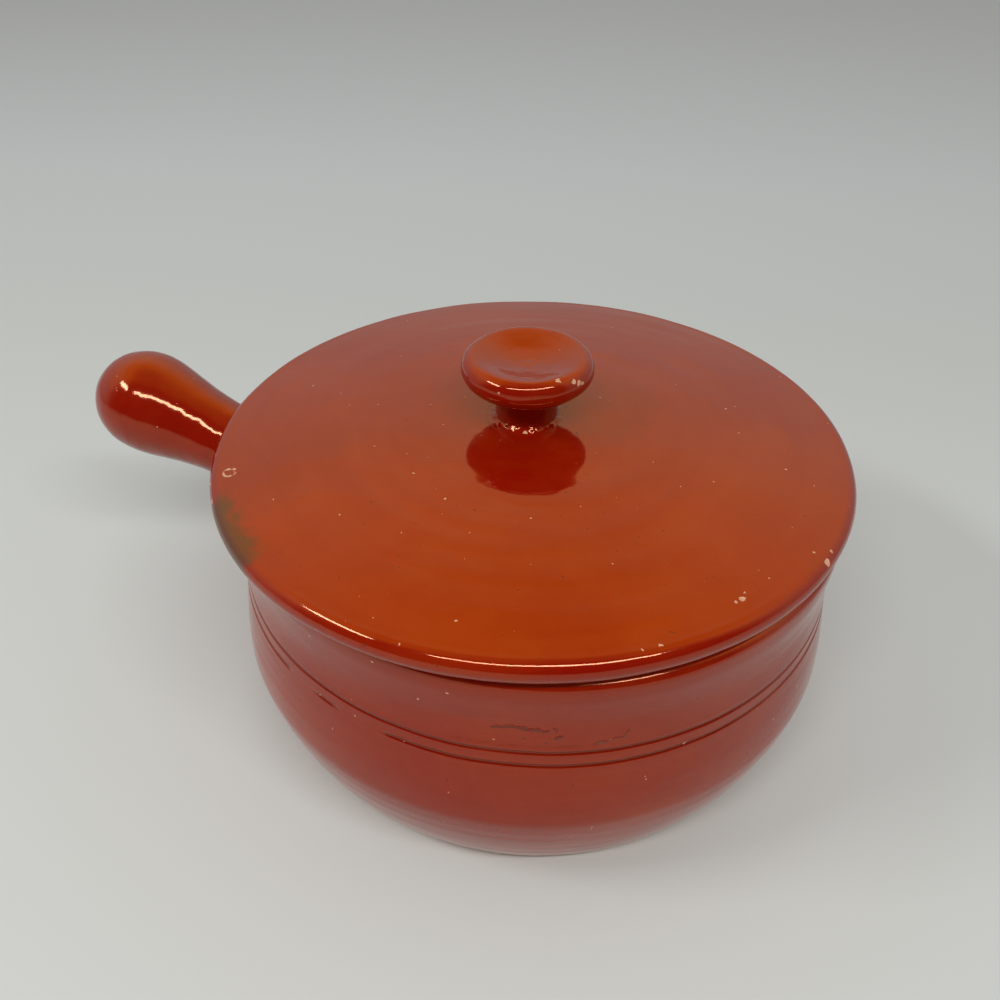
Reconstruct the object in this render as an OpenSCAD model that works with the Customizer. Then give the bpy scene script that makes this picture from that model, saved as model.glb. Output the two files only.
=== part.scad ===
// Glazed red earthenware casserole with a club handle and a lid with a dished knob.
// Origin: middle of the flat base. +Z is up and the handle points to -X.

/* [Bowl] */
// Outside diameter of the rim
rim_d = 230; // [210:1:250]
// Height of the rim's crest above the table
bowl_h = 111.5; // [104:0.5:124]
// Height at which the wall is widest
belly_z = 47; // [42:1:60]
// How far the belly stands out past the rim, measured on the radius
belly_out = 2.5; // [1:0.5:8]
// How far the neck is drawn in from the rim, measured on the radius
neck_in = 1.3; // [0.5:0.1:3]
// Depth of the neck below the rim's crest
neck_drop = 20; // [16:1:26]
// How far the base is set in from the rim, measured on the radius
base_in = 18.5; // [12:0.5:28]
// Fullness of the lower wall: 1 is a straight slope and 2 is a round one
fullness = 1.35; // [1.2:0.05:2.2]
// Thickness of the wall
wall_t = 7; // [6:0.5:10]
// Thickness of the floor
floor_t = 8; // [7:0.5:12]

/* [Grooves] */
// Depth of the upper groove below the rim's crest
groove_drop = 31.5; // [28:0.5:36]
// Height between the two grooves
groove_pitch = 5.5; // [4:0.5:9]
// Width of a groove
groove_w = 1.8; // [1:0.1:3]
// Depth of a groove into the wall
groove_t = 0.7; // [0.4:0.1:1.2]

/* [Lid] */
// How far the lid reaches out past the rim, measured on the radius
lid_over = 5; // [2:0.5:10]
// Thickness of the lid at its edge
lid_t = 9.4; // [8:0.1:14]
// Radius of the lid's rounded upper edge
lid_top_round = 4.7; // [3:0.1:6]
// Radius of the lid's rounded lower edge
lid_low_round = 4.5; // [1:0.1:4.6]
// Rise of the lid from its edge to its middle
lid_rise = 9.6; // [4:0.1:16]
// Thickness of the lid at its middle
crown_t = 7; // [6:0.5:11]
// Height of the flange that keeps the lid in the mouth
flange_h = 9; // [6:0.5:14]
// Thickness of the flange
flange_t = 6.5; // [6:0.5:12]
// Loose play between the flange and the mouth, measured on the radius
flange_play = 6; // [5:0.5:9]
// Gap between the lid's seat and the crest of the rim, where they are closest
seat_gap = 0.2; // [0.1:0.05:0.5]
// How far the lid lies off the middle of the bowl, towards the handle
lid_shift = 3.3; // [0:0.1:4]
// Lean of the lid towards the handle, in degrees
lid_lean = 0.95; // [0:0.05:1.2]

/* [Knob] */
// Diameter of the knob's head
knob_d = 48.9; // [40:0.1:60]
// Height of the knob above the lid
knob_h = 25.4; // [23:0.2:34]
// Height of the knob's round edge, from its widest place to its crest
edge_h = 5.7; // [4:0.1:8]
// Width of the knob's round edge, from its widest place to its crest
edge_w = 4.2; // [2.5:0.1:6]
// Height of the curve under the knob's head
under_h = 7.8; // [6:0.1:12]
// Depth of the dish in the knob's top
dish_t = 3.8; // [2:0.2:5]
// Diameter of the knob's stem
stem_d = 23.6; // [18:0.2:28]
// How far the knob stands off the lid's middle, towards the handle
knob_shift = 2; // [0:0.1:3]
// Thickness of the clay coil that holds the knob on
knob_lute = 2.4; // [1.6:0.1:3.4]

/* [Handle] */
// Depth of the handle's root below the rim's crest
root_drop = 32.5; // [29:0.5:38]
// Rise of the handle, in degrees
handle_rise = 15.7; // [0:0.1:22]
// Length of the handle from the wall to its tip
handle_l = 92; // [74:1:130]
// Length of the round end, from the widest place to the tip
tip_l = 23.7; // [14:0.1:30]
// Diameter of the handle at its root
root_d = 32; // [28:0.5:36]
// Diameter of the handle at its widest place
club_d = 44.7; // [38:0.1:56]
// How late the handle swells: 1 is an even swell
swell = 2.05; // [1:0.05:3]
// Wall of the hollow handle
handle_wall = 7; // [5:0.5:9]
// Diameter of the vent under the handle
vent_d = 3.5; // [2.5:0.5:5]
// Distance of the vent from the wall of the bowl
vent_l = 22; // [16:1:34]
// Thickness of the clay coil that holds the handle on
root_lute = 5; // [3:0.5:7]

/* [Hidden] */
glaze = "#8c2c14";
glaze_dark = "#74200f";
$fn = 96;

// Steps along a curved stretch of an outline
steps = 18;
// Extra length of anything that is cut off by another piece
spare = 14;

rim_r = rim_d / 2;
belly_r = rim_r + belly_out;
neck_r = rim_r - neck_in;
base_r = rim_r - base_in;
neck_z = bowl_h - neck_drop;
// The rim is a full round, as thick as the wall
rim_round = wall_t / 2;
rim_z = bowl_h - rim_round;
mouth_r = rim_r - wall_t;
crest_r = rim_r - rim_round;

flange_r = mouth_r - flange_play;
lid_r = rim_r + lid_over;
crown_z = lid_t + lid_rise;

knob_r = knob_d / 2;
stem_r = stem_d / 2;
edge_z = knob_h - edge_h;
// The dish runs out level into the crest of the round edge
dish_rim = knob_r - edge_w;

root_z = bowl_h - root_drop;
root_r = root_d / 2;
club_r = club_d / 2;
club_s = handle_l - tip_l;

function ease(from, to, t) = from + (to - from) * (1 - cos(180 * t)) / 2;

// Outside radius of the bowl at a height z
function lower_r(z) =
    base_r + (belly_r - base_r) * pow(1 - pow(1 - z / belly_z, fullness), 1 / fullness);
function upper_r(z) = ease(belly_r, neck_r, (z - belly_z) / (neck_z - belly_z));
function lip_r(z) = ease(neck_r, rim_r, (z - neck_z) / (rim_z - neck_z));
function bowl_r(z) = z < belly_z ? lower_r(z) : z < neck_z ? upper_r(z) : lip_r(min(z, rim_z));

// Heights at which the outlines have a point: closer together low down, where the wall turns
low_z = [for (i = [0 : steps]) belly_z * pow(i / steps, 1.8)];
high_z = [for (i = [1 : steps]) belly_z + (rim_z - belly_z) * i / steps];
outer_z = concat(low_z, high_z);

// The inner wall keeps the wall's thickness, and rounds into the floor
function inner_r(z) = bowl_r(z) - wall_t - floor_corner * pow(1 - min(1, (z - floor_t) / floor_turn), 2);
floor_corner = 22;
floor_turn = 34;
inner_z = [for (i = [0 : 2 * steps]) floor_t + (rim_z - floor_t) * pow(i / (2 * steps), 1.5)];

module bowl_outer_outline() {
    polygon(concat(
        [[0, 0]],
        [for (z = outer_z) [bowl_r(z), z]],
        [[0, rim_z]]));
}

module bowl_inner_outline() {
    polygon(concat(
        [[0, floor_t]],
        [for (z = inner_z) [inner_r(z), z]],
        [[mouth_r, bowl_h + 1], [0, bowl_h + 1]]));
}

// Everything inside the bowl's outer wall, which the handle is cut to
module bowl_bulk() {
    rotate_extrude() bowl_outer_outline();
}

module groove(z) {
    translate([0, 0, z]) rotate_extrude()
        translate([bowl_r(z) + groove_w / 2 - groove_t, 0]) circle(d = groove_w, $fn = 24);
}

module bowl() {
    color(glaze) difference() {
        rotate_extrude() {
            difference() {
                bowl_outer_outline();
                bowl_inner_outline();
            }
            translate([crest_r, rim_z]) circle(r = rim_round);
        }
        for (i = [0 : 1]) groove(bowl_h - groove_drop - i * groove_pitch);
    }
}

// Radius of the club at a distance s from the wall, and its outline for a given skin
function club_radius(s) =
    root_r + (club_r - root_r) * (1 - cos(180 * pow(max(0, s) / club_s, swell))) / 2;

module club_outline(skin) {
    polygon(concat(
        [[0, -spare], [root_r - skin, -spare]],
        [for (i = [0 : steps]) [club_radius(club_s * i / steps) - skin, club_s * i / steps]],
        [for (i = [1 : steps]) let (a = 90 * i / steps)
            [(club_r - skin) * cos(a), club_s + (tip_l - skin) * sin(a)]]));
}

// The handle's own axis is Z; this lays it along its line on the bowl
module at_handle() {
    translate([-bowl_r(root_z), 0, root_z]) rotate([0, handle_rise - 90, 0]) children();
}

module handle_bulk() {
    at_handle() rotate_extrude() club_outline(0);
}

module handle() {
    color(glaze) difference() {
        handle_bulk();
        at_handle() rotate_extrude() club_outline(handle_wall);
        at_handle() translate([0, 0, vent_l]) rotate([0, -90, 0])
            cylinder(h = club_r + 1, d = vent_d, $fn = 32);
        bowl_bulk();
    }
}

module handle_luting() {
    color(glaze_dark) difference() {
        translate([-bowl_r(root_z), 0, root_z]) rotate([0, -90, 0]) rotate_extrude()
            translate([root_r + root_lute / 4, 0]) circle(r = root_lute, $fn = 48);
        handle_bulk();
        bowl_bulk();
    }
}

// Height of the lid's top above its seat, at a distance r from its middle
function lid_top(r) = crown_z - lid_rise * pow(r / (lid_r - lid_top_round), 2);
function lid_under(r) = crown_z - crown_t - (crown_z - crown_t - under_edge)
    * pow(r / (flange_r - flange_t), 2);
// Height of the hollow's edge above the seat, inside the flange
under_edge = 1.5;

module lid_outline() {
    top_r = lid_r - lid_top_round;
    difference() {
        union() {
            polygon(concat(
                [[0, 0]],
                [[lid_r - lid_low_round, 0], [lid_r, lid_low_round]],
                [[lid_r, lid_t - lid_top_round]],
                [for (i = [1 : steps]) let (a = 90 * i / steps)
                    [top_r + lid_top_round * cos(a), lid_t - lid_top_round * (1 - sin(a))]],
                [for (i = [1 : steps]) [top_r * (1 - i / steps), lid_top(top_r * (1 - i / steps))]]));
            translate([lid_r - lid_low_round, lid_low_round]) circle(r = lid_low_round, $fn = 48);
            translate([flange_r - flange_t, -flange_h]) square([flange_t, flange_h + 1]);
        }
        polygon(concat(
            [[0, -flange_h - 1], [flange_r - flange_t, -flange_h - 1]],
            [for (i = [0 : steps]) let (r = (flange_r - flange_t) * (1 - i / steps)) [r, lid_under(r)]]));
    }
}

// The lid leans about the place on the rim's crest nearest the handle
module at_lid() {
    translate([-crest_r, 0, bowl_h + seat_gap]) rotate([0, -lid_lean, 0])
        translate([crest_r - lid_shift, 0, 0]) children();
}

module lid_bulk() {
    rotate_extrude() lid_outline();
}

module lid() {
    color(glaze) at_lid() lid_bulk();
}

// The knob's foot starts inside the lid's crown and is cut to it. Up from the stem come
// the hollow curve under the head, the round edge and the dish.
module knob_outline() {
    polygon(concat(
        [[0, -crown_t / 2], [stem_r, -crown_t / 2]],
        [for (i = [0 : steps]) let (a = 90 * i / steps)
            [stem_r + (knob_r - stem_r) * sin(a), edge_z - under_h * cos(a)]],
        [for (i = [1 : steps]) let (a = 90 * i / steps)
            [dish_rim + edge_w * cos(a), edge_z + edge_h * sin(a)]],
        [for (i = [1 : steps]) let (r = dish_rim * (1 - i / steps))
            [r, knob_h - dish_t * pow(max(0, 1 - pow(r / dish_rim, 2)), 1.5)]]));
}

module knob_bulk() {
    translate([-knob_shift, 0, crown_z]) rotate_extrude() knob_outline();
}

module knob() {
    color(glaze_dark) at_lid() difference() {
        knob_bulk();
        lid_bulk();
    }
}

module knob_luting() {
    color(glaze_dark) at_lid() difference() {
        translate([-knob_shift, 0, crown_z]) rotate_extrude()
            translate([stem_r + knob_lute / 4, 0]) circle(r = knob_lute, $fn = 48);
        knob_bulk();
        lid_bulk();
    }
}

bowl();
handle();
handle_luting();
lid();
knob();
knob_luting();
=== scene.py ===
import math

import bmesh
import bpy
import numpy as np
from mathutils import Matrix, Vector


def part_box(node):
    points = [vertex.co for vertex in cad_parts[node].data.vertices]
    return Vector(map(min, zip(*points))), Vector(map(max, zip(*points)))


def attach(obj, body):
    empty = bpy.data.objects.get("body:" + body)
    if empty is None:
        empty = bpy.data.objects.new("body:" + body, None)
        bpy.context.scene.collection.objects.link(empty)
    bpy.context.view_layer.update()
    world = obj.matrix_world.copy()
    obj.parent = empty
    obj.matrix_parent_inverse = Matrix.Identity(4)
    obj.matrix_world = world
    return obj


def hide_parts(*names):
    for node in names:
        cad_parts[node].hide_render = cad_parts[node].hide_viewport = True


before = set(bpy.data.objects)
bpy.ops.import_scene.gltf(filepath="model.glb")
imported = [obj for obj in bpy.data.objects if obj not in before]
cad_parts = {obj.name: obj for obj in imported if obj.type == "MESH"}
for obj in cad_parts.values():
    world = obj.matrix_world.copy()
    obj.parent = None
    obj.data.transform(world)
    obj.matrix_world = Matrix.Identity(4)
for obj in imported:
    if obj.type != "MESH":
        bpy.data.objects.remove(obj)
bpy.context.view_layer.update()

MM = 0.001
TURN = 2 * math.pi

# Sizes of the thrown pieces, in metres, as the pan was made
BOWL_LOW, BOWL_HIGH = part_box("bowl")
BOWL_H = BOWL_HIGH.z
BELLY_R = BOWL_HIGH.x
BELLY_Z = 47 * MM
RIM_R = BELLY_R - 2.5 * MM
NECK_R = RIM_R - 1.3 * MM
NECK_Z = BOWL_H - 20 * MM
BASE_R = RIM_R - 18.5 * MM
FULLNESS = 1.35
WALL_T = 7 * MM
FLOOR_T = 8 * MM
FLOOR_CORNER = 22 * MM
FLOOR_TURN = 34 * MM
RIM_ROUND = WALL_T / 2
RIM_Z = BOWL_H - RIM_ROUND
CREST_R = RIM_R - RIM_ROUND

GROOVE_Z = BOWL_H - 31.5 * MM
GROOVE_PITCH = 5.5 * MM
GROOVE_W = 2.2 * MM
GROOVE_T = 0.4 * MM
# Stretches of the wall, in degrees round from the side away from the handle
FIRST_SKIP = (240, 249)
SECOND_SKIP = (252.5, 264)
SLIP = (275, 299)
SLIP_RISE = 2.8 * MM

LID_R = RIM_R + 5 * MM
LID_T = 9.4 * MM
LID_RISE = 9.6 * MM
LID_TOP_ROUND = 4.7 * MM
LID_LOW_ROUND = 4.5 * MM
CROWN_T = 7 * MM
CROWN_Z = LID_T + LID_RISE
FLANGE_H = 9 * MM
FLANGE_T = 6.5 * MM
FLANGE_R = RIM_R - WALL_T - 6 * MM
UNDER_EDGE = 1.5 * MM
SEAT_GAP = 0.2 * MM
LID_SHIFT = 3.3 * MM
LID_LEAN = math.radians(0.95)

KNOB_R = 24.45 * MM
KNOB_H = 25.4 * MM
EDGE_W = 4.2 * MM
EDGE_H = 5.7 * MM
UNDER_H = 7.8 * MM
DISH_T = 3.8 * MM
STEM_R = 11.8 * MM
KNOB_SHIFT = 2 * MM
KNOB_LUTE = 3.4 * MM

ROOT_Z = BOWL_H - 32.5 * MM
ROOT_R = 16 * MM
CLUB_R = 22.35 * MM
CLUB_L = 92 * MM
TIP_L = 23.7 * MM
CLUB_S = CLUB_L - TIP_L
SWELL = 2.05
CLUB_RISE = math.radians(15.7)
ROOT_LUTE = 7 * MM
VENT_L = 22 * MM
VENT_R = 1.75 * MM

# Where the photograph was taken from: the camera stands this far round the pan from -Y
CAMERA_ROUND = math.radians(17)
CAMERA_OUT = 0.316
CAMERA_UP = 0.3334
CAMERA_YAW = math.radians(2.64)
CAMERA_DOWN = math.radians(37.3)
CAMERA_ROLL = math.radians(1.2)
SENSOR = 36.0
LENS = 36.0


def srgb(red, green, blue):
    """A colour named in screen values, as the renderer wants it."""
    def linear(v):
        v = v / 255
        return v / 12.92 if v <= 0.04045 else ((v + 0.055) / 1.055) ** 2.4
    return (linear(red), linear(green), linear(blue), 1.0)


class Wire:
    """A node's output. Arithmetic on it adds the Math nodes."""

    def __init__(self, maker, socket):
        self.maker = maker
        self.socket = socket

    def __add__(self, other):
        return self.maker.math("ADD", self, other)

    def __radd__(self, other):
        return self.maker.math("ADD", other, self)

    def __sub__(self, other):
        return self.maker.math("SUBTRACT", self, other)

    def __rsub__(self, other):
        return self.maker.math("SUBTRACT", other, self)

    def __mul__(self, other):
        return self.maker.math("MULTIPLY", self, other)

    def __rmul__(self, other):
        return self.maker.math("MULTIPLY", other, self)

    def __truediv__(self, other):
        return self.maker.math("DIVIDE", self, other)

    def __rtruediv__(self, other):
        return self.maker.math("DIVIDE", other, self)


class Maker:
    """Builds a node tree. Every node comes from node(), and the rest are short names for it."""

    def __init__(self, tree):
        self.tree = tree

    def node(self, kind, settings=None, sockets=None, out=0):
        made = self.tree.nodes.new(kind)
        for name, value in (settings or {}).items():
            if name == "stops":
                self.set_stops(made.color_ramp, value)
            else:
                setattr(made, name, value)
        for name, value in (sockets or {}).items():
            if isinstance(value, Wire):
                self.tree.links.new(value.socket, made.inputs[name])
            else:
                made.inputs[name].default_value = value
        return Wire(self, made.outputs[out] if len(made.outputs) else None)

    @staticmethod
    def set_stops(ramp, stops):
        while len(ramp.elements) < len(stops):
            ramp.elements.new(1.0)
        for element, (place, colour) in zip(ramp.elements, stops):
            element.position = place
            element.color = colour

    def math(self, operation, first, second=None, clamp=False):
        sockets = {0: first}
        if second is not None:
            sockets[1] = second
        return self.node("ShaderNodeMath", {"operation": operation, "use_clamp": clamp}, sockets)

    def vector(self, operation, first, second=None, scale=None, out=0):
        sockets = {0: first}
        if second is not None:
            sockets[1] = second
        if scale is not None:
            sockets["Scale"] = scale
        return self.node("ShaderNodeVectorMath", {"operation": operation}, sockets, out)

    def join(self, x, y, z):
        return self.node("ShaderNodeCombineXYZ", {}, {0: x, 1: y, 2: z})

    def split(self, vector):
        first = self.node("ShaderNodeSeparateXYZ", {}, {0: vector})
        outputs = first.socket.node.outputs
        return tuple(Wire(self, outputs[i]) for i in range(3))

    def step(self, value, low, high):
        """0 below low and 1 above high, smooth between; turned round where low is above high."""
        rising = low < high
        return self.node(
            "ShaderNodeMapRange",
            {"interpolation_type": "SMOOTHSTEP"},
            {
                "Value": value,
                "From Min": low if rising else high,
                "From Max": high if rising else low,
                "To Min": 0.0 if rising else 1.0,
                "To Max": 1.0 if rising else 0.0,
            },
        )

    def mix(self, factor, first, second):
        return self.node(
            "ShaderNodeMix",
            {"data_type": "RGBA", "clamp_factor": True},
            {0: factor, 6: first, 7: second},
            out=2,
        )

    def noise(self, vector, scale, detail=2.0, roughness=0.5, distortion=0.0):
        return self.node(
            "ShaderNodeTexNoise",
            {"noise_dimensions": "3D"},
            {
                "Vector": vector,
                "Scale": scale,
                "Detail": detail,
                "Roughness": roughness,
                "Distortion": distortion,
            },
        )


# Outlines of the thrown pieces: radius and height, from the foot of the axis round to its top


def ease(start, end, t):
    return start + (end - start) * (1 - math.cos(math.pi * t)) / 2


def bowl_radius(z):
    """Outside radius of the bowl at a height."""
    if z < BELLY_Z:
        share = 1 - (1 - z / BELLY_Z) ** FULLNESS
        return BASE_R + (BELLY_R - BASE_R) * share ** (1 / FULLNESS)
    if z < NECK_Z:
        return ease(BELLY_R, NECK_R, (z - BELLY_Z) / (NECK_Z - BELLY_Z))
    return ease(NECK_R, RIM_R, min(1, (z - NECK_Z) / (RIM_Z - NECK_Z)))


def bowl_inside(z):
    turned = 1 - min(1, (z - FLOOR_T) / FLOOR_TURN)
    return bowl_radius(z) - WALL_T - FLOOR_CORNER * turned**2


def spread(start, end, step):
    """Even places from start to end, about a step apart, both ends included."""
    count = max(2, int(abs(end - start) / step) + 1)
    return np.linspace(start, end, count)


def bowl_outline():
    """The bowl's outline as (radius, height, outside) rows."""
    rows = [(r, 0.0, 0.0) for r in spread(0, BASE_R, 6 * MM)[:-1]]
    fine = GROOVE_W * 1.2
    heights = [BELLY_Z * t**1.8 for t in np.linspace(0, 1, 44)]
    groove_low = GROOVE_Z - GROOVE_PITCH - fine
    heights += list(spread(BELLY_Z, groove_low, 1.3 * MM)[1:])
    heights += list(spread(groove_low, GROOVE_Z + fine, 0.25 * MM)[1:])
    heights += list(spread(GROOVE_Z + fine, RIM_Z, 1.3 * MM)[1:])
    rows += [(bowl_radius(z), z, 1.0) for z in heights]
    for a in np.linspace(0, math.pi, 18)[1:]:
        rows.append((CREST_R + RIM_ROUND * math.cos(a), RIM_Z + RIM_ROUND * math.sin(a), 1.0))
    inner = [FLOOR_T + (RIM_Z - FLOOR_T) * (1 - t) ** 1.5 for t in np.linspace(0, 1, 52)]
    rows += [(bowl_inside(z), z, 0.0) for z in inner[1:]]
    rows += [(r, FLOOR_T, 0.0) for r in spread(bowl_inside(FLOOR_T), 0, 5 * MM)[1:]]
    return rows


def lid_top(r):
    return CROWN_Z - LID_RISE * (r / (LID_R - LID_TOP_ROUND)) ** 2


def lid_under(r):
    drop = CROWN_Z - CROWN_T - UNDER_EDGE
    return CROWN_Z - CROWN_T - drop * (r / (FLANGE_R - FLANGE_T)) ** 2


def lid_outline():
    """The lid's outline from the middle of its hollow, round the flange and edge, to its top."""
    bore = FLANGE_R - FLANGE_T
    rows = [(r, lid_under(r), 0.0) for r in spread(0, bore, 3 * MM)]
    rows += [(bore, z, 0.0) for z in spread(UNDER_EDGE, -FLANGE_H, 2 * MM)[1:-1]]
    soft = 2 * MM
    for a in np.linspace(math.pi, 1.5 * math.pi, 6):
        rows.append((bore + soft + soft * math.cos(a), -FLANGE_H + soft + soft * math.sin(a), 0.0))
    for a in np.linspace(1.5 * math.pi, 2 * math.pi, 6):
        rows.append((FLANGE_R - soft + soft * math.cos(a), -FLANGE_H + soft + soft * math.sin(a), 0.0))
    rows += [(FLANGE_R, z, 0.0) for z in spread(-FLANGE_H + soft, 0, 2 * MM)[1:-1]]
    rows += [(r, 0.0, 0.0) for r in spread(FLANGE_R, LID_R - LID_LOW_ROUND, 2 * MM)]
    for a in np.linspace(-math.pi / 2, 0, 9)[1:]:
        rows.append((
            LID_R - LID_LOW_ROUND + LID_LOW_ROUND * math.cos(a),
            LID_LOW_ROUND + LID_LOW_ROUND * math.sin(a),
            1.0,
        ))
    rows += [(LID_R, z, 1.0) for z in spread(LID_LOW_ROUND, LID_T - LID_TOP_ROUND, 0.8 * MM)[1:]]
    top_r = LID_R - LID_TOP_ROUND
    # The upper edge is turned until it runs into the slope of the top
    for a in np.linspace(0, math.pi / 2, 16)[1:]:
        rows.append((
            top_r + LID_TOP_ROUND * math.cos(a),
            LID_T - LID_TOP_ROUND * (1 - math.sin(a)),
            1.0,
        ))
    rows += [(r, lid_top(r), 1.0) for r in spread(top_r, 0, 1.4 * MM)[1:]]
    return rows


def knob_outline():
    """The knob's outline from inside the lid's crown, up the stem and head and into the dish."""
    dish_rim = KNOB_R - EDGE_W
    edge_z = KNOB_H - EDGE_H
    foot = -CROWN_T / 2
    rows = [(r, foot, 0.0) for r in spread(0, STEM_R, 3 * MM)]
    rows += [(STEM_R, z, 1.0) for z in spread(foot, edge_z - UNDER_H, 0.7 * MM)[1:]]
    for a in np.linspace(0, math.pi / 2, 34)[1:]:
        rows.append((
            STEM_R + (KNOB_R - STEM_R) * math.sin(a),
            edge_z - UNDER_H * math.cos(a),
            1.0,
        ))
    for a in np.linspace(0, math.pi / 2, 22)[1:]:
        rows.append((dish_rim + EDGE_W * math.cos(a), edge_z + EDGE_H * math.sin(a), 1.0))
    for r in spread(dish_rim, 0, 0.6 * MM)[1:]:
        level = max(0, 1 - (r / dish_rim) ** 2)
        rows.append((r, KNOB_H - DISH_T * level**1.5, 1.0))
    return rows


def club_radius(s):
    t = (max(0, s) / CLUB_S) ** SWELL
    return ROOT_R + (CLUB_R - ROOT_R) * (1 - math.cos(math.pi * t)) / 2


def club_outline():
    """The handle's outline along its own axis, from inside the wall to its tip."""
    start = -5 * MM
    rows = [(r, start, 0.0) for r in spread(0, ROOT_R, 4 * MM)]
    rows += [(club_radius(s), s, 1.0) for s in spread(start, CLUB_S, 0.8 * MM)[1:]]
    for a in np.linspace(0, math.pi / 2, 40)[1:]:
        rows.append((CLUB_R * math.cos(a), CLUB_S + TIP_L * math.sin(a), 1.0))
    return rows


def outline_mesh(name, rows):
    """A line of points in the XZ plane that carries how far along it each point lies."""
    points = np.array([(r, 0, z) for r, z, outside in rows])
    mesh = bpy.data.meshes.new(name)
    edges = [(i, i + 1) for i in range(len(rows) - 1)]
    mesh.from_pydata([tuple(p) for p in points], edges, [])
    along = np.concatenate([[0], np.cumsum(np.linalg.norm(np.diff(points, axis=0), axis=1))])
    mesh.attributes.new("along", "FLOAT", "POINT").data.foreach_set("value", along.astype(np.float32))
    outside = np.array([row[2] for row in rows], np.float32)
    mesh.attributes.new("outside", "FLOAT", "POINT").data.foreach_set("value", outside)
    return mesh


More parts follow.
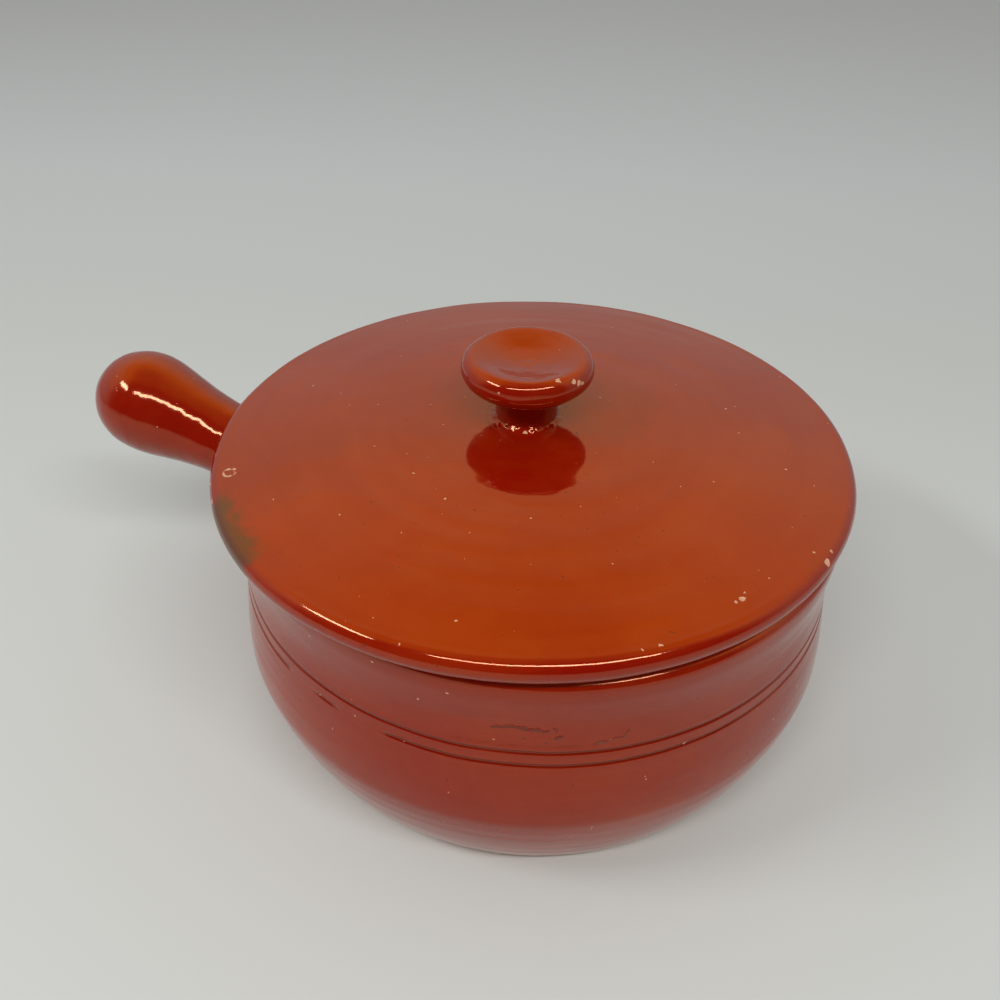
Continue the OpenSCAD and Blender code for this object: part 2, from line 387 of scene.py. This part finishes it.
def wheel_tree():
    """Geometry nodes that throw an outline on the wheel, with its rings, dents and grooves."""
    tree = bpy.data.node_groups.new("Thrown on the wheel", "GeometryNodeTree")
    tree.is_modifier = True
    inputs = [
        ("Outline", "NodeSocketGeometry", None),
        ("Steps around", "NodeSocketInt", 300),
        ("Wobble", "NodeSocketFloat", 0.0),
        ("Ring depth", "NodeSocketFloat", 0.0),
        ("Ring pitch", "NodeSocketFloat", 0.006),
        ("Dent depth", "NodeSocketFloat", 0.0),
        ("Dent size", "NodeSocketFloat", 0.02),
        ("Groove height", "NodeSocketFloat", -1.0),
        ("Groove pitch", "NodeSocketFloat", GROOVE_PITCH),
        ("Groove width", "NodeSocketFloat", GROOVE_W),
        ("Groove depth", "NodeSocketFloat", 0.0),
        ("Seed", "NodeSocketInt", 1),
        ("Finish", "NodeSocketMaterial", None),
    ]
    for name, kind, value in inputs:
        socket = tree.interface.new_socket(name=name, in_out="INPUT", socket_type=kind)
        if value is not None:
            socket.default_value = value
    tree.interface.new_socket(name="Clay", in_out="OUTPUT", socket_type="NodeSocketGeometry")
    m = Maker(tree)
    source = tree.nodes.new("NodeGroupInput")
    given = {name: Wire(m, source.outputs[name]) for name, kind, value in inputs}
    count = m.node(
        "GeometryNodeAttributeDomainSize", {"component": "MESH"}, {0: given["Outline"]}
    )
    shape = m.node(
        "GeometryNodeMeshGrid",
        {},
        {"Size X": 1.0, "Size Y": 1.0, "Vertices X": given["Steps around"] + 1, "Vertices Y": count},
    )
    u, v, flat = m.split(m.node("GeometryNodeInputPosition"))
    angle = (u + 0.5) * TURN
    index = m.math("ROUND", (v + 0.5) * (count - 1))

    def named(name, kind="FLOAT"):
        return m.node("GeometryNodeInputNamedAttribute", {"data_type": kind}, {"Name": name})

    def sampled(value, kind="FLOAT"):
        return m.node(
            "GeometryNodeSampleIndex",
            {"data_type": kind, "domain": "POINT"},
            {"Geometry": given["Outline"], "Value": value, "Index": index},
        )

    outline_place = sampled(m.node("GeometryNodeInputPosition"), "FLOAT_VECTOR")
    radius, unused, height = m.split(outline_place)
    along = sampled(named("along"))
    outside = sampled(named("outside"))
    east = m.math("COSINE", angle)
    north = m.math("SINE", angle)
    wheel = m.join(radius * east, radius * north, height)
    seed = given["Seed"] * 7.3

    # The whole ring is a little out of round; fingers leave rings and shallow dents
    slow = m.noise(m.join(east, north, height * 9 + seed), 0.8, detail=1.0)
    ring_place = m.join(along / given["Ring pitch"] + seed, east * 0.9, north * 0.9)
    rings = m.noise(ring_place, 1.0, detail=2.5, roughness=0.55)
    dent_place = m.vector("ADD", wheel, m.join(seed, 0.0, 0.0))
    dents = m.noise(dent_place, 1 / given["Dent size"], detail=1.5)

    # Two grooves. The tool skipped twice in the lower one, and slipped above the upper one.
    wander = m.noise(m.join(east * 6, north * 6, seed), 1.0, detail=3.0) - 0.5

    def groove(level, strength, share=1.0):
        away = m.math("ABSOLUTE", height - level + wander * 0.0008)
        return m.step(away / (given["Groove width"] * share / 2), 1.0, 0.1) * strength * outside

    def arc(start, end):
        soft = math.radians(1.5)
        first = math.radians(start)
        last = math.radians(end)
        return m.step(angle, first, first + soft) * m.step(angle, last, last - soft)

    skips = 1 - m.math("MAXIMUM", arc(*FIRST_SKIP), arc(*SECOND_SKIP))
    dashes = m.step(m.noise(m.join(east * 60, north * 60, seed), 1.0, detail=2.0), 0.42, 0.55)
    upper = groove(given["Groove height"], 1.0)
    lower = groove(given["Groove height"] - given["Groove pitch"], skips)
    slip = groove(given["Groove height"] + SLIP_RISE, arc(*SLIP) * dashes * 0.5, 0.6)
    pooled = m.math("MAXIMUM", m.math("MAXIMUM", upper, lower), slip)
    marks = m.step(rings, 0.2, 0.9) * given["Ring depth"] + m.step(dents, 0.2, 0.9) * given["Dent depth"]
    cut = (marks * outside + pooled * given["Groove depth"]) * m.step(radius, 0.0, 0.003)

    for name, kind, value in (
        ("wheel", "FLOAT_VECTOR", wheel),
        ("outside", "FLOAT", outside),
        ("pooled", "FLOAT", pooled),
        ("rings", "FLOAT", rings),
        ("cut", "FLOAT", cut),
    ):
        shape = m.node(
            "GeometryNodeStoreNamedAttribute",
            {"data_type": kind, "domain": "POINT"},
            {"Geometry": shape, "Name": name, "Value": value},
        )
    narrowed = m.math("MAXIMUM", radius - slow * given["Wobble"] * m.step(radius, 0.0, 0.02), 0.0)
    thrown = m.join(narrowed * east, narrowed * north, height)
    shape = m.node("GeometryNodeSetPosition", {}, {"Geometry": shape, "Position": thrown})
    shape = m.node("GeometryNodeMergeByDistance", {}, {"Geometry": shape, "Distance": 1e-6})
    inwards = m.vector("SCALE", m.node("GeometryNodeInputNormal"), scale=-1 * named("cut"))
    shape = m.node("GeometryNodeSetPosition", {}, {"Geometry": shape, "Offset": inwards})
    shape = m.node("GeometryNodeSetShadeSmooth", {}, {"Geometry": shape})
    shape = m.node("GeometryNodeRealizeInstances", {}, {"Geometry": shape})
    shape = m.node("GeometryNodeSetMaterial", {}, {"Geometry": shape, "Material": given["Finish"]})
    result = tree.nodes.new("NodeGroupOutput")
    tree.links.new(shape.socket, result.inputs[0])
    return tree


WHEEL = wheel_tree()


def throw(name, rows, finish, place, settings, dents=()):
    """A piece turned from its outline on the wheel, then set in its place in the mesh itself."""
    outline = bpy.data.objects.new(name + " outline", outline_mesh(name + " outline", rows))
    bpy.context.scene.collection.objects.link(outline)
    modifier = outline.modifiers.new("Wheel", "NODES")
    modifier.node_group = WHEEL
    sockets = {item.name: item.identifier for item in WHEEL.interface.items_tree}
    for label, value in {**settings, "Finish": finish}.items():
        modifier[sockets[label]] = value
    depsgraph = bpy.context.evaluated_depsgraph_get()
    mesh = bpy.data.meshes.new_from_object(outline.evaluated_get(depsgraph))
    bpy.data.objects.remove(outline)
    mesh.name = name
    for centre, radius, depth in dents:
        press(mesh, centre, radius, depth)
    mesh.transform(place)
    piece = bpy.data.objects.new(name, mesh)
    bpy.context.scene.collection.objects.link(piece)
    return piece


def press(mesh, centre, radius, depth):
    """Push a dent into a mesh around a point of it."""
    count = len(mesh.vertices)
    points = np.empty(count * 3)
    mesh.vertices.foreach_get("co", points)
    points = points.reshape(-1, 3)
    normals = np.empty(count * 3, np.float32)
    mesh.vertex_normals.foreach_get("vector", normals)
    normals = normals.reshape(-1, 3)
    away = np.linalg.norm(points - np.array(centre), axis=1) / radius
    near = np.clip((1.15 - away) / 0.5, 0, 1)
    strength = near * near * (3 - 2 * near)
    lean = normals[away < 1].mean(axis=0) if (away < 1).any() else np.zeros(3)
    points -= depth * strength[:, None] * lean
    mesh.vertices.foreach_set("co", points.ravel())
    mesh.update()


# Places of the lid and the handle


def lid_place():
    tilt = Matrix.Rotation(-LID_LEAN, 4, "Y")
    seat = Matrix.Translation((-CREST_R, 0, BOWL_H + SEAT_GAP))
    return seat @ tilt @ Matrix.Translation((CREST_R - LID_SHIFT, 0, 0))


def knob_place():
    return lid_place() @ Matrix.Translation((-KNOB_SHIFT, 0, CROWN_Z))


def club_place():
    turn = Matrix.Rotation(CLUB_RISE - math.pi / 2, 4, "Y")
    return Matrix.Translation((-bowl_radius(ROOT_Z), 0, ROOT_Z)) @ turn


def polar(degrees, radius, height):
    """A point on the wheel: degrees round from the side away from the handle, in metres."""
    angle = math.radians(degrees)
    return (radius * math.cos(angle), radius * math.sin(angle), height)


# The glaze

DEEP_GLAZE = srgb(138, 12, 2)
WARM_GLAZE = srgb(162, 48, 6)
POOLED_GLAZE = srgb(96, 6, 1)
IRON_SPECK = srgb(60, 22, 10)
PALE_CLAY = srgb(226, 184, 150)
CHIP_AND_HIGHLIGHT_CLAY = srgb(205, 140, 104)
RED_CLAY = srgb(172, 96, 62)
SANDY_CLAY = srgb(204, 142, 100)
DARK_OLIVE = srgb(62, 50, 30)


def near_line(m, place, start, end):
    """Distance of a place from a straight line between two points."""
    along = Vector(end) - Vector(start)
    offset = m.vector("SUBTRACT", place, tuple(start))
    share = m.vector("DOT_PRODUCT", offset, tuple(along / along.length_squared), out=1)
    share = m.math("MINIMUM", m.math("MAXIMUM", share, 0.0), 1.0)
    return m.vector("DISTANCE", offset, m.vector("SCALE", tuple(along), scale=share), out=1)


def highest(m, masks):
    top = masks[0]
    for mask in masks[1:]:
        top = m.math("MAXIMUM", top, mask)
    return top


def glaze(name, warmth=0.5, bare=None, chips_and_highlights=(), runs=(), extra=None, seed=0.0, gloss=0.07):
    """Red lead glaze over red clay.

    bare says where the clay has none, chips_and_highlights are (place, radius) of pale spots, broken
    clay on the lid and knob and partly painted highlight on the coil, runs are strokes of thicker glaze,
    and extra paints one more mark on the colour and roughness.
    """
    material = bpy.data.materials.new(name)
    material.use_nodes = True
    material.node_tree.nodes.clear()
    m = Maker(material.node_tree)
    here = m.node("ShaderNodeTexCoord", out=3)
    here = m.vector("ADD", here, (seed, seed * 0.7, 0.0))
    wheel = m.node("ShaderNodeAttribute", {"attribute_name": "wheel"}, out=1)
    pooled = m.node("ShaderNodeAttribute", {"attribute_name": "pooled"}, out=2)
    rings = m.node("ShaderNodeAttribute", {"attribute_name": "rings"}, out=2)
    x, y, z = m.split(wheel)
    radius = m.math("SQRT", x * x + y * y)

    # Cloudy change from deep red where the glaze is thick to orange brown where it is thin
    cloud = m.noise(here, 16, detail=4.0, roughness=0.6)
    fine = m.noise(here, 240, detail=3.0, roughness=0.65)
    thin = m.step(cloud + (fine - 0.5) * 0.2 + (rings - 0.5) * 0.4, 0.25, 0.8)
    colour = m.mix(thin * warmth, DEEP_GLAZE, WARM_GLAZE)
    colour = m.mix(pooled * 0.85, colour, POOLED_GLAZE)

    # Small dark specks of iron and paler ones of grit
    iron = m.step(m.noise(here, 480, detail=1.0), 0.74, 0.8)
    colour = m.mix(iron * 0.6, colour, IRON_SPECK)
    grit = m.step(m.noise(m.vector("ADD", here, (3.1, 0.0, 0.0)), 420, detail=1.0), 0.79, 0.82)
    colour = m.mix(grit * 0.8, colour, PALE_CLAY)
    rough = gloss + cloud * 0.03 + fine * 0.04 + iron * 0.15

    # The surface of the glaze: slow waves, orange peel and pinholes
    peel = m.noise(here, 620, detail=2.0, roughness=0.6)
    height = m.noise(here, 75, detail=2.0) * 0.00012 + peel * 0.000012 - iron * 0.00003

    shake = m.node(
        "ShaderNodeTexNoise", {}, {"Vector": here, "Scale": 420.0, "Detail": 3.0}, out=1
    )
    shake = m.vector("SUBTRACT", shake, (0.5, 0.5, 0.5))
    ragged = m.vector("ADD", wheel, m.vector("SCALE", shake, scale=0.003))
    grain = m.noise(here, 900, detail=4.0, roughness=0.7)

    if runs:
        masks = []
        for points, width in runs:
            for start, end in zip(points, points[1:]):
                masks.append(m.step(near_line(m, ragged, start, end) / width, 1.0, 0.3))
        thick = highest(m, masks)
        colour = m.mix(thick * 0.8, colour, POOLED_GLAZE)
        height = height + thick * 0.00025
    if extra is not None:
        colour, rough = extra(m, here, wheel, radius, colour, rough)
    # Pale spots of bare clay where the glaze broke off; on the coil some of them are painted highlight.
    if chips_and_highlights:
        masks = [
            m.step(m.vector("DISTANCE", ragged, centre, out=1) / size, 1.0, 0.8)
            for centre, size in chips_and_highlights
        ]
        chipped_and_highlit = highest(m, masks)
        colour = m.mix(chipped_and_highlit, colour, m.mix(m.step(grain, 0.3, 0.7), CHIP_AND_HIGHLIGHT_CLAY, PALE_CLAY))
        rough = rough + chipped_and_highlit * 0.6
        height = height - chipped_and_highlit * 0.0002 + chipped_and_highlit * grain * 0.0002
    if bare is not None:
        wander = (m.noise(here, 60, detail=4.0) - 0.5) * 0.004
        open_clay = bare(m, radius, z, wander)
        clay = m.mix(m.step(grain + (cloud - 0.5) * 0.6, 0.35, 0.7), RED_CLAY, SANDY_CLAY)
        colour = m.mix(open_clay, colour, clay)
        rough = rough + open_clay * 0.7
        height = height + open_clay * grain * 0.00025

    bump = m.node("ShaderNodeBump", {}, {"Strength": 1.0, "Distance": 1.0, "Height": height})
    shader = m.node(
        "ShaderNodeBsdfPrincipled",
        {},
        {
            "Base Color": colour,
            "Roughness": m.math("MINIMUM", rough, 1.0),
            "IOR": 1.8,
            "Specular Tint": (1.0, 0.5, 0.28, 1.0),
            "Normal": bump,
        },
    )
    m.node("ShaderNodeOutputMaterial", {}, {"Surface": shader})
    return material


def dark_patch_on_lid(m, here, wheel, radius, colour, rough):
    """A dark olive patch on the lid's edge, and a ring scratched beside it."""
    cloud = m.noise(here, 130, detail=5.0, roughness=0.7) - 0.5
    patch_away = m.vector("DISTANCE", wheel, DARK_PATCH, out=1) / (23 * MM)
    outer = m.step(radius + cloud * 0.02, 0.1085, 0.1165)
    patched = m.step(patch_away + cloud * 0.7, 1.0, 0.7) * outer
    colour = m.mix(patched * 0.8, colour, DARK_OLIVE)
    away = m.math("ABSOLUTE", m.vector("DISTANCE", wheel, SCRATCH, out=1) - 2.2 * MM)
    broken = m.step(m.noise(here, 500, detail=2.0), 0.42, 0.52)
    scratch = m.step(away + cloud * 0.002, 0.0007, 0.0002) * broken
    colour = m.mix(scratch * 0.75, colour, PALE_CLAY)
    return colour, rough + patched * 0.15 + scratch * 0.4


def bowl_bare(m, radius, z, wander):
    """The foot stands free of glaze."""
    return m.step(z + wander, 0.005, 0.0035) * m.step(radius, 0.07, 0.0701)


def lid_bare(m, radius, z, wander):
    """The seat and the flange are wiped clean."""
    seat = m.step(z + wander * 0.3, 0.0015, 0.0005) * m.step(radius + wander, 0.088, 0.09)
    return seat


def on_lid(degrees, radius):
    """A place on the lid's top."""
    return polar(degrees, radius, lid_top(radius))


def lid_edge(degrees, up_degrees):
    """A place on the lid's rounded edge, by how far it faces up."""
    a = math.radians(up_degrees)
    radius = LID_R - LID_TOP_ROUND * (1 - math.cos(a))
    return polar(degrees, radius, LID_T - LID_TOP_ROUND * (1 - math.sin(a)))


def knob_edge(degrees, up_degrees):
    """A place on the knob's rounded edge, by how far round it is from the widest place."""
    a = math.radians(up_degrees)
    radius = KNOB_R - EDGE_W * (1 - math.cos(a))
    return polar(degrees, radius, KNOB_H - EDGE_H * (1 - math.sin(a)))


def on_wall(degrees, height):
    z = height * MM
    return polar(degrees, bowl_radius(z), z)


# Middle of the dark olive patch on the lid's lower-left edge.
DARK_PATCH = lid_edge(-131, 40)
SCRATCH = on_lid(-147, 112 * MM)
LID_CHIPS = [
    (lid_edge(-17, 45), 1.5 * MM),
    (lid_edge(-14.5, 60), 0.7 * MM),
    (on_lid(-36.6, 110.7 * MM), 0.7 * MM),
    (on_lid(-35.2, 111 * MM), 0.9 * MM),
    (on_lid(-34, 109.5 * MM), 0.5 * MM),
    (on_lid(-16.9, 113 * MM), 0.6 * MM),
    (lid_edge(-146, 35), 1.0 * MM),
    (lid_edge(-141, 30), 1.3 * MM),
    (lid_edge(-52, 80), 0.6 * MM),
    (lid_edge(-55, 75), 0.5 * MM),
]
KNOB_CHIPS = [
    (knob_edge(-41, 75), 1.1 * MM),
    (knob_edge(-28, 45), 1.0 * MM),
    (knob_edge(-22, 32), 1.2 * MM),
    (knob_edge(-17, 20), 1.0 * MM),
]
# Pale spots round the foot of the stem: partly real chips, partly painted highlight where the lamps
# glint on the front of the coil.
COIL_CHIPS_AND_HIGHLIGHTS = [
    (polar(-112, STEM_R + 0.6 * MM, 2.2 * MM), 1.2 * MM),
    (polar(-74, STEM_R + 2.2 * MM, 0.6 * MM), 1.3 * MM),
    (polar(-96, STEM_R + 2.6 * MM, 0.4 * MM), 0.8 * MM),
]
WALL_RUNS = [
    ([on_wall(-78, 90.5), on_wall(-75, 91.5), on_wall(-72, 90.5), on_wall(-69.5, 90)], 0.9 * MM),
    ([on_wall(-68.6, 91), on_wall(-68.2, 90.5)], 0.8 * MM),
    ([on_wall(-68.2, 86.5), on_wall(-67.3, 87)], 0.9 * MM),
    ([on_wall(-62, 83.5), on_wall(-59, 84.5), on_wall(-57, 85), on_wall(-56.4, 88)], 0.6 * MM),
]


def build_pieces():
    bowl = throw(
        "thrown_bowl",
        bowl_outline(),
        glaze("Red glaze on the bowl", warmth=0.6, bare=bowl_bare, runs=WALL_RUNS, seed=0.3),
        Matrix.Identity(4),
        {
            "Steps around": 400,
            "Wobble": 0.3 * MM,
            "Ring depth": 0.22 * MM,
            "Ring pitch": 5 * MM,
            "Dent depth": 0.25 * MM,
            "Dent size": 45 * MM,
            "Groove height": GROOVE_Z,
            "Groove depth": GROOVE_T,
            "Seed": 3,
        },
    )
    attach(bowl, "pan")
    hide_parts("bowl")

    club = throw(
        "club_handle",
        club_outline(),
        glaze("Red glaze on the handle", warmth=0.3, seed=1.3, gloss=0.05),
        club_place(),
        {
            "Steps around": 240,
            "Wobble": 0.2 * MM,
            "Ring depth": 0.2 * MM,
            "Ring pitch": 6 * MM,
            "Dent depth": 0.35 * MM,
            "Dent size": 18 * MM,
            "Seed": 5,
        },
    )
    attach(club, "pan")
    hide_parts("handle")

    lid = throw(
        "thrown_lid",
        lid_outline(),
        glaze(
            "Red glaze on the lid",
            warmth=0.5,
            bare=lid_bare,
            chips_and_highlights=LID_CHIPS,
            extra=dark_patch_on_lid,
            seed=2.1,
            gloss=0.04,
        ),
        lid_place(),
        {
            "Steps around": 560,
            "Wobble": 0.2 * MM,
            "Ring depth": 0.22 * MM,
            "Ring pitch": 9 * MM,
            "Dent depth": 0.3 * MM,
            "Dent size": 30 * MM,
            "Seed": 7,
        },
    )
    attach(lid, "lid")
    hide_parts("lid")

    knob_glaze = glaze("Red glaze on the knob", warmth=0.25, chips_and_highlights=KNOB_CHIPS, seed=4.4)
    coil_glaze = glaze("Red glaze on the coil", warmth=0.2, chips_and_highlights=COIL_CHIPS_AND_HIGHLIGHTS, seed=5.1)
    knob = throw(
        "dished_knob",
        knob_outline(),
        knob_glaze,
        knob_place(),
        {
            "Steps around": 256,
            "Wobble": 0.2 * MM,
            "Ring depth": 0.12 * MM,
            "Ring pitch": 4 * MM,
            "Dent depth": 0.3 * MM,
            "Dent size": 12 * MM,
            "Seed": 9,
        },
    )
    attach(knob, "lid")
    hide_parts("knob")

    knob_coil = throw(
        "knob_coil",
        knob_coil_outline(),
        coil_glaze,
        knob_place(),
        {
            "Steps around": 256,
            "Ring depth": 0.3 * MM,
            "Ring pitch": 2 * MM,
            "Dent depth": 1.0 * MM,
            "Dent size": 3.5 * MM,
            "Seed": 11,
        },
    )
    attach(knob_coil, "lid")
    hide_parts("knob_luting")

    handle_coil = luting_round_handle(bpy.data.materials["Red glaze on the handle"])
    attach(handle_coil, "pan")
    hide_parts("handle_luting")


def knob_coil_outline():
    """The coil pressed into the corner between the stem and the lid."""
    top_z = KNOB_LUTE
    out_r = STEM_R + KNOB_LUTE
    rows = [(r, -2 * MM, 0.0) for r in spread(0, out_r, 3 * MM)]
    rows += [(out_r, z, 0.0) for z in spread(-2 * MM, -0.3 * MM, 0.6 * MM)[1:]]
    for a in np.linspace(0, math.pi / 2, 16)[1:]:
        r = out_r - KNOB_LUTE * 1.15 * math.sin(a)
        rows.append((r, top_z - (top_z + 0.3 * MM) * math.cos(a), 1.0))
    last_r = rows[-1][0]
    rows += [(r, top_z, 0.0) for r in spread(last_r, 0, 3 * MM)[1:]]
    return rows


def wall_hit(place, angle, radius):
    """How far along the handle's axis a line beside it meets the bowl's wall."""
    side = Vector((radius * math.cos(angle), radius * math.sin(angle), 0))
    low = -30 * MM
    high = 40 * MM
    for turn in range(40):
        middle = (low + high) / 2
        point = place @ (side + Vector((0, 0, middle)))
        inside = math.hypot(point.x, point.y) < bowl_radius(point.z)
        if inside:
            low = middle
        else:
            high = middle
    return (low + high) / 2


def luting_round_handle(finish):
    """The coil pressed into the corner between the handle and the wall, as a closed ring."""
    place = club_place()
    around = 200
    across = 18
    rings = []
    for i in range(around):
        angle = TURN * i / around
        lumps = 1 + 0.12 * math.sin(9 * angle + 1.1) + 0.07 * math.sin(17 * angle)
        width = ROOT_LUTE * lumps
        root = wall_hit(place, angle, ROOT_R)
        up = Vector((ROOT_R - 0.3 * MM, root + width))
        corner = Vector((ROOT_R + width * 0.12, root + width * 0.12))
        out = Vector((ROOT_R + width, wall_hit(place, angle, ROOT_R + width) - 0.3 * MM))
        loop = []
        for t in np.linspace(0, 1, across):
            loop.append(up * (1 - t) ** 2 + corner * 2 * t * (1 - t) + out * t**2)
        deep = Vector((ROOT_R - 2 * MM, root - 3 * MM))
        for t in np.linspace(0, 1, 7)[1:]:
            loop.append(out * (1 - t) + deep * t)
        for t in np.linspace(0, 1, 5)[1:-1]:
            loop.append(deep * (1 - t) + up * t)
        rings.append([
            (p.x * math.cos(angle), p.x * math.sin(angle), p.y) for p in loop
        ])
    points = np.array(rings)
    per = points.shape[1]
    faces = []
    for i in range(around):
        for j in range(per):
            nxt = (i + 1) % around
            side = (j + 1) % per
            faces.append((i * per + j, nxt * per + j, nxt * per + side, i * per + side))
    mesh = bpy.data.meshes.new("handle_coil")
    mesh.from_pydata([tuple(p) for p in points.reshape(-1, 3)], [], faces)
    for name, value in (("outside", 1.0), ("pooled", 0.0), ("rings", 0.5)):
        attribute = mesh.attributes.new(name, "FLOAT", "POINT")
        attribute.data.foreach_set("value", np.full(len(mesh.vertices), value, np.float32))
    wheel = mesh.attributes.new("wheel", "FLOAT_VECTOR", "POINT")
    wheel.data.foreach_set("vector", points.astype(np.float32).ravel())
    mesh.transform(place)
    mesh.materials.append(finish)
    bm = bmesh.new()
    bm.from_mesh(mesh)
    bmesh.ops.recalc_face_normals(bm, faces=bm.faces)
    bm.to_mesh(mesh)
    bm.free()
    mesh.shade_smooth()
    piece = bpy.data.objects.new("handle_coil", mesh)
    bpy.context.scene.collection.objects.link(piece)
    return piece


# Floor, lamps, world and camera


def camera_side():
    return Vector((math.sin(CAMERA_ROUND), -math.cos(CAMERA_ROUND), 0))


def set_camera():
    data = bpy.data.cameras.new("Camera")
    data.sensor_width = SENSOR
    data.lens = LENS
    data.clip_start = 0.01
    camera = bpy.data.objects.new("Camera", data)
    stand = camera_side() * CAMERA_OUT + Vector((0, 0, CAMERA_UP))
    turn = (
        Matrix.Rotation(CAMERA_ROUND + CAMERA_YAW, 4, "Z")
        @ Matrix.Rotation(math.pi / 2 - CAMERA_DOWN, 4, "X")
        @ Matrix.Rotation(CAMERA_ROLL, 4, "Z")
    )
    camera.matrix_world = Matrix.Translation(stand) @ turn
    bpy.context.scene.collection.objects.link(camera)
    bpy.context.scene.camera = camera


def set_floor():
    bpy.ops.mesh.primitive_circle_add(vertices=96, radius=4.0, fill_type="NGON")
    floor = bpy.context.object
    floor.name = "Floor"
    material = bpy.data.materials.new("Floor paper")
    material.use_nodes = True
    material.node_tree.nodes.clear()
    m = Maker(material.node_tree)
    here = m.node("ShaderNodeTexCoord", out=3)
    # Painted light: the paper's colour turns paler further behind the pan, a painted brightening where
    # more light falls on it.
    behind = m.vector("DOT_PRODUCT", here, tuple(-camera_side()), out=1)
    far = m.step(behind, 0.25, 0.7)
    colour = m.mix(far, srgb(214, 217, 212), srgb(224, 228, 227))
    shader = m.node("ShaderNodeBsdfPrincipled", {}, {"Base Color": colour, "Roughness": 0.9})
    m.node("ShaderNodeOutputMaterial", {}, {"Surface": shader})
    floor.data.materials.append(material)


def set_world():
    """A studio that is pale behind the pan and dark on the camera's side."""
    world = bpy.data.worlds.new("Studio")
    bpy.context.scene.world = world
    world.use_nodes = True
    world.node_tree.nodes.clear()
    m = Maker(world.node_tree)
    way = m.node("ShaderNodeTexCoord", out=0)
    towards_camera = m.vector("DOT_PRODUCT", way, tuple(camera_side()), out=1)
    room = m.step(towards_camera, 0.0, 0.45)
    x, y, up = m.split(way)
    seen = m.node(
        "ShaderNodeValToRGB",
        {
            "stops": [
                (0.0, (0.32, 0.32, 0.30, 1.0)),
                (0.3, (0.42, 0.41, 0.36, 1.0)),
                (0.55, (0.68, 0.57, 0.36, 1.0)),
                (0.72, (0.96, 0.61, 0.27, 1.0)),
                (0.88, (0.93, 0.50, 0.07, 1.0)),
                (1.0, (0.36, 0.21, 0.07, 1.0)),
            ]
        },
        {"Fac": up},
    )
    seen = m.vector("SCALE", seen, scale=1.4)
    seen = m.mix(room, seen, (0.05, 0.045, 0.04, 1.0))
    lit = m.mix(room, (0.42, 0.42, 0.43, 1.0), (0.12, 0.12, 0.12, 1.0))
    glossy = m.node("ShaderNodeLightPath", out=3)
    camera = m.node("ShaderNodeLightPath", out=0)
    colour = m.mix(camera, m.mix(glossy, lit, seen), (0.66, 0.68, 0.67, 1.0))
    background = m.node("ShaderNodeBackground", {}, {"Color": colour, "Strength": 1.0})
    m.node("ShaderNodeOutputWorld", {}, {"Surface": background})


def set_lamp(name, round_degrees, up_degrees, distance, width, height, power):
    """A soft box, placed by how far round from the camera it stands and how high it is."""
    data = bpy.data.lights.new(name, "AREA")
    data.shape = "RECTANGLE"
    data.size = width
    data.size_y = height
    data.energy = power
    lamp = bpy.data.objects.new(name, data)
    angle = CAMERA_ROUND - math.pi / 2 + math.radians(round_degrees)
    level = math.radians(up_degrees)
    target = Vector((0, 0, BOWL_H))
    offset = Vector((
        math.cos(angle) * math.cos(level),
        math.sin(angle) * math.cos(level),
        math.sin(level),
    ))
    lamp.location = target + offset * distance
    lamp.rotation_euler = offset.to_track_quat("Z", "Y").to_euler()
    bpy.context.scene.collection.objects.link(lamp)


set_camera()
set_floor()
set_world()
set_lamp("Wide box", 8, 54, 1.5, 1.6, 0.14, 14)
set_lamp("Small box", -68, 42, 1.5, 0.5, 0.16, 5)
build_pieces()

bpy.context.scene.view_settings.view_transform = "Standard"
bpy.context.view_layer.update()
